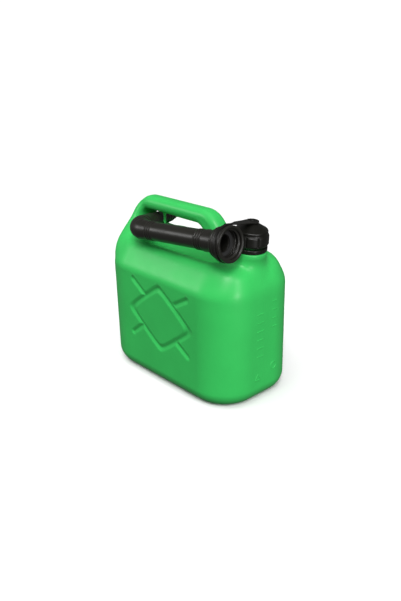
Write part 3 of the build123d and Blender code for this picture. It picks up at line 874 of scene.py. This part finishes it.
def tube_rings():
    """Rings of points over the flange, along the outside, round the far end and back up the bore."""
    angle = np.linspace(0, 2 * math.pi, 96, endpoint=False)
    rings = []

    def add(distance, radius):
        centre, inward, normal = path_frame(distance)
        radius = np.broadcast_to(radius, angle.shape)[:, None]
        spoke = np.cos(angle)[:, None] * inward + np.sin(angle)[:, None] * normal
        rings.append(centre + radius * spoke)

    flange = ((15.3, 11.0), (15.0, 11.3), (15.0, 15.8), (15.2, 16.1), (17.4, 16.1), (17.7, 15.8))
    for distance, radius in flange:
        add(distance, radius)
    for distance in np.arange(18.0, path_end - 0.8, TUBE_STEP):
        add(distance, tube_radius(distance, angle))
    for inset, radius in ((0.4, 12.45), (0.1, 12.1), (0.0, 11.7), (0.0, 11.1), (0.3, TUBE_BORE)):
        add(path_end - inset, radius)
    for distance in np.arange(path_end - 2.0, 17.0, -3.0):
        add(distance, TUBE_BORE)
    return np.array(rings)


hose = outward(mesh_object("spout_hose", *ring_mesh(tube_rings(), closed=True)))
dress(hose, SPOUT_BLACK, "spout", "spout_plastic", "spout_tube")

# ---------------------------------------------------------------- spout nozzle
NOZZLE_BORE = 7.2
NOZZLE_RADIUS = 9.8
BAND_RADIUS = 10.7
nozzle_outline = [
    (NOZZLE_BORE, 30.0), (10.5, 30.0), (10.5, 43.8, 0), (BAND_RADIUS, 43.9, 0.1),
    (BAND_RADIUS, 61.6), (NOZZLE_RADIUS, 63.0),
]
for band_start in (76.0, 83.5, 91.0):
    nozzle_outline += [
        (NOZZLE_RADIUS, band_start), (BAND_RADIUS, band_start + 0.6),
        (BAND_RADIUS, band_start + 3.0), (NOZZLE_RADIUS, band_start + 3.6),
    ]
nozzle_outline += [(NOZZLE_RADIUS, 98.0, 1.5), (9.0, 105.0, 0.9), (NOZZLE_BORE, 105.0, 0.5)]
nozzle_outline = divided(rounded(nozzle_outline, 0.35), 1.5)
nozzle = turned("nozzle_tip", corner, LEG_AXIS, nozzle_outline, around=112)
dress(nozzle, SPOUT_BLACK, "nozzle", "spout_plastic", "spout_nozzle")

# ---------------------------------------------------------------- kept CAD nodes
kept = {"cap_inner": LINER, "cap_seal": FOAM, "collar_gasket": RUBBER, "cap_strap": CAP_BLACK}
for node, material in kept.items():
    piece = frame["nodes"][node]
    piece.data.materials.clear()
    piece.data.materials.append(material)

# ---------------------------------------------------------------- floor, light and camera
# Everything from here on is in metres.
FLOOR_RADII = (0.0, 0.6, 1.5, 2.5, 4.0, 6.0, 9.0)
FLOOR_RISES = (0.0, 0.0, 0.0, 0.02, 0.22, 0.85, 2.4)
FLOOR_RINGS = 40
FLOOR_AROUND = 96


def floor_dish():
    """Flat round floor whose rim rises into a pale backdrop on every side."""
    angle = np.linspace(0, 2 * math.pi, FLOOR_AROUND, endpoint=False)
    along = np.linspace(0, len(FLOOR_RADII) - 1, FLOOR_RINGS)
    radii = np.interp(along, range(len(FLOOR_RADII)), FLOOR_RADII)
    rises = np.interp(radii, FLOOR_RADII, FLOOR_RISES)
    radii[0] = 0.001
    radii, rises = radii[:, None], np.broadcast_to(rises[:, None], (FLOOR_RINGS, FLOOR_AROUND))
    rings = np.stack([radii * np.cos(angle), radii * np.sin(angle), rises], -1)
    return mesh_object("studio_floor", *ring_mesh(rings / MM, closed=False))


floor = floor_dish()
floor.data.materials.append(matt_white("floor_white", (0.93, 0.93, 0.93), 0.9))
floor.visible_diffuse = False
floor.visible_glossy = False

world = bpy.data.worlds.new("studio")
bpy.context.scene.world = world
world.use_nodes = True
background = world.node_tree.nodes["Background"]
background.inputs["Color"].default_value = (1.0, 1.0, 1.0, 1)
background.inputs["Strength"].default_value = 0.12

TARGET = Vector((0.003617, 0.007506, 0.104234))


def direction_to(azimuth, elevation):
    """Unit vector towards a compass direction in degrees; azimuth 0 is -Y and 90 is +X."""
    azimuth, elevation = math.radians(azimuth), math.radians(elevation)
    level = math.cos(elevation)
    return Vector((math.sin(azimuth) * level, -math.cos(azimuth) * level, math.sin(elevation)))


def aim(thing, direction):
    """Turns a lamp so that it shines from a direction."""
    thing.rotation_euler = direction.to_track_quat("Z", "Y").to_euler()


def sun(name, azimuth, elevation, strength, spread, glossy=True):
    """Broad, even light; spread is its width in degrees."""
    light = bpy.data.lights.new(name, "SUN")
    light.energy = strength
    light.angle = math.radians(spread)
    lamp = bpy.data.objects.new(name, light)
    lamp.visible_glossy = glossy
    bpy.context.scene.collection.objects.link(lamp)
    aim(lamp, direction_to(azimuth, elevation))


def softbox(name, azimuth, elevation, distance, size, power):
    """Rectangular lamp that faces the target from a distance."""
    light = bpy.data.lights.new(name, "AREA")
    light.shape = "RECTANGLE"
    light.size, light.size_y = size
    light.energy = power
    lamp = bpy.data.objects.new(name, light)
    bpy.context.scene.collection.objects.link(lamp)
    direction = direction_to(azimuth, elevation)
    lamp.location = TARGET + direction * distance
    aim(lamp, direction)


sun("overhead", azimuth=-15, elevation=74, strength=1.9, spread=70, glossy=False)
sun("key", azimuth=48, elevation=46, strength=1.8, spread=22)
softbox("side_strip", azimuth=84, elevation=30, distance=1.4, size=(0.22, 0.50), power=4.0)
softbox("left_fill", azimuth=-44, elevation=24, distance=1.1, size=(0.46, 0.28), power=2.2)
softbox("corner_strip", azimuth=80, elevation=7, distance=0.7, size=(0.06, 0.16), power=0.9)

CAMERA_AZIMUTH = 48.0276
CAMERA_ELEVATION = 22.4841
CAMERA_ROLL = -1.1523
CAMERA_DISTANCE = 0.92738
CAMERA_SENSOR = 36.0
CAMERA_LENS = 38.71
camera_data = bpy.data.cameras.new("camera")
camera_data.sensor_width = CAMERA_SENSOR
camera_data.lens = CAMERA_LENS
camera = bpy.data.objects.new("camera", camera_data)
bpy.context.scene.collection.objects.link(camera)
back = direction_to(CAMERA_AZIMUTH, CAMERA_ELEVATION)
turn = math.radians(CAMERA_AZIMUTH)
right = Vector((math.cos(turn), math.sin(turn), 0))
upward = back.cross(right)
roll = math.radians(CAMERA_ROLL)
rolled_right = right * math.cos(roll) + upward * math.sin(roll)
rolled_up = upward * math.cos(roll) - right * math.sin(roll)
place = TARGET + back * CAMERA_DISTANCE
camera.matrix_world = Matrix((
    (rolled_right.x, rolled_up.x, back.x, place.x),
    (rolled_right.y, rolled_up.y, back.y, place.y),
    (rolled_right.z, rolled_up.z, back.z, place.z),
    (0, 0, 0, 1),
))
bpy.context.scene.camera = camera
bpy.context.scene.view_settings.view_transform = "Standard"
